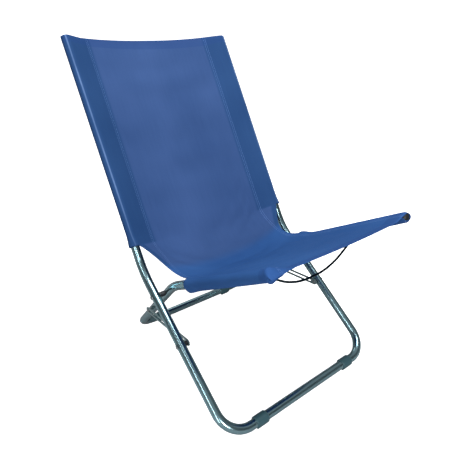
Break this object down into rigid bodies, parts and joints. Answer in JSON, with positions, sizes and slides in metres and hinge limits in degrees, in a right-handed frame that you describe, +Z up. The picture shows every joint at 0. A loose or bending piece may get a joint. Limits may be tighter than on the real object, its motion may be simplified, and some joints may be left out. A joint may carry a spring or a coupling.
{
  "type": "folding beach chair",
  "caption": "Low folding beach chair with two crossed tube frames, slotted stays, a cloth sling seat and back, and a bow under the seat.",
  "frame": {"origin": "on the floor, under the middle of the chair's overall box", "axes": "+Z up, the sitter looks along -Y, +X is the sitter's left"},
  "size_m": [0.497, 0.7422, 0.8109],
  "materials": {
    "frame_steel": "glossy grey-green lacquer on steel tube",
    "stay_steel": "pressed steel bar, satin",
    "zinc_steel": "zinc plated",
    "foot_plastic": "moulded dark grey-green plastic",
    "black_plastic": "moulded black plastic",
    "bow_steel": "black lacquered spring steel wire",
    "sling_cloth": "close plain weave coated polyester cloth, royal blue"
  },
  "bodies": {
    "back_frame": {"back_frame_tube": "frame_steel", "pivot_bolt_left": "zinc_steel", "pivot_bolt_right": "zinc_steel", "pivot_bush_left": "black_plastic", "pivot_bush_right": "black_plastic", "pivot_nut_left": "zinc_steel", "pivot_nut_right": "zinc_steel", "stay_rivet_left": "zinc_steel", "stay_rivet_right": "zinc_steel", "stay_washer_left": "black_plastic", "stay_washer_right": "black_plastic", "front_foot_left": "foot_plastic", "front_foot_right": "foot_plastic", "back_end_plug_left": "black_plastic", "back_end_plug_right": "black_plastic", "back_panel": "sling_cloth", "back_sleeve_left": "sling_cloth", "back_sleeve_right": "sling_cloth", "lap_panel": "sling_cloth"},
    "seat_frame": {"seat_frame_tube": "frame_steel", "stay_stud_left": "zinc_steel", "stay_stud_right": "zinc_steel", "rear_foot_left": "foot_plastic", "rear_foot_right": "foot_plastic", "seat_end_plug_left": "black_plastic", "seat_end_plug_right": "black_plastic", "seat_panel": "sling_cloth", "seat_sleeve_left": "sling_cloth", "seat_sleeve_right": "sling_cloth", "spreader_bow": "bow_steel"},
    "stay_left": {"stay_left": "stay_steel"},
    "stay_right": {"stay_right": "stay_steel"}
  },
  "joints": [
    {"name": "fold", "type": "hinge", "parent": "back_frame", "child": "seat_frame", "pos_m": [0, -0.00413, 0.23205], "axis": [-1, 0, 0], "range_deg": [0, 90], "deforming": ["lap_panel"]},
    {"name": "stay_left_swing", "type": "hinge", "parent": "back_frame", "child": "stay_left", "pos_m": [0, -0.10979, 0.15127], "axis": [-1, 0, 0], "range_deg": [0, 45]},
    {"name": "stay_right_swing", "type": "hinge", "parent": "back_frame", "child": "stay_right", "pos_m": [0, -0.10979, 0.15127], "axis": [-1, 0, 0], "range_deg": [0, 45]}
  ],
  "couplings": [
    {"joint": "stay_left_swing", "follows": "fold", "ratio": 0.5},
    {"joint": "stay_right_swing", "follows": "fold", "ratio": 0.5}
  ]
}
